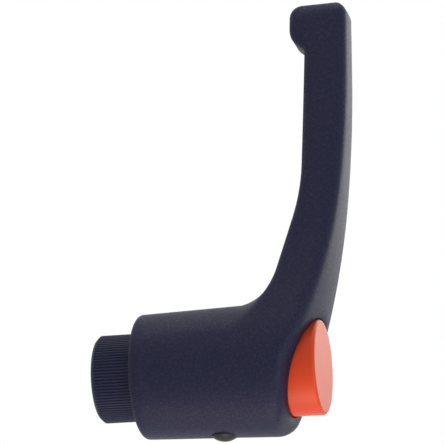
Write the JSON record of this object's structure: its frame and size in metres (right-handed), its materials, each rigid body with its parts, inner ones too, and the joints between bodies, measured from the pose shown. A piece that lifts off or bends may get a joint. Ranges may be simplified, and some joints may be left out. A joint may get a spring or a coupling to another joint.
{
  "type": "adjustable clamping lever",
  "caption": "Adjustable clamping lever: black moulded arm on a ribbed steel insert with internal thread, orange release button on the hub axis.",
  "frame": {"origin": "centre of the insert's lower clamping face, on the thread axis", "axes": "+Z along the thread axis towards the push button, +X along the arm towards its tip"},
  "size_m": [0.0927, 0.0274, 0.0534],
  "materials": {
    "lever_plastic": "matte",
    "insert_steel": "matte",
    "screw_steel": "satin",
    "spring_steel": "satin",
    "button_plastic": "satin",
    "pin_steel": "satin"
  },
  "bodies": {
    "boss": {"hub_insert": "insert_steel", "shoulder_screw": "screw_steel", "return_spring": "spring_steel"},
    "button": {"push_button": "button_plastic"},
    "lever": {"lever_body": "lever_plastic", "stop_pin": "pin_steel", "spring_washer": "screw_steel"}
  },
  "joints": [
    {"name": "lever_index", "type": "hinge", "parent": "boss", "child": "button", "pos_m": [0, 0, 0.0472], "axis": [0, 0, 1], "continuous": true},
    {"name": "lever_lift", "type": "slide", "parent": "button", "child": "lever", "axis": [0, 0, 1], "range_m": [0, 0.0035], "stiffness_N_per_m": 2500, "springref_m": -0.004, "deforming": ["return_spring"]}
  ]
}
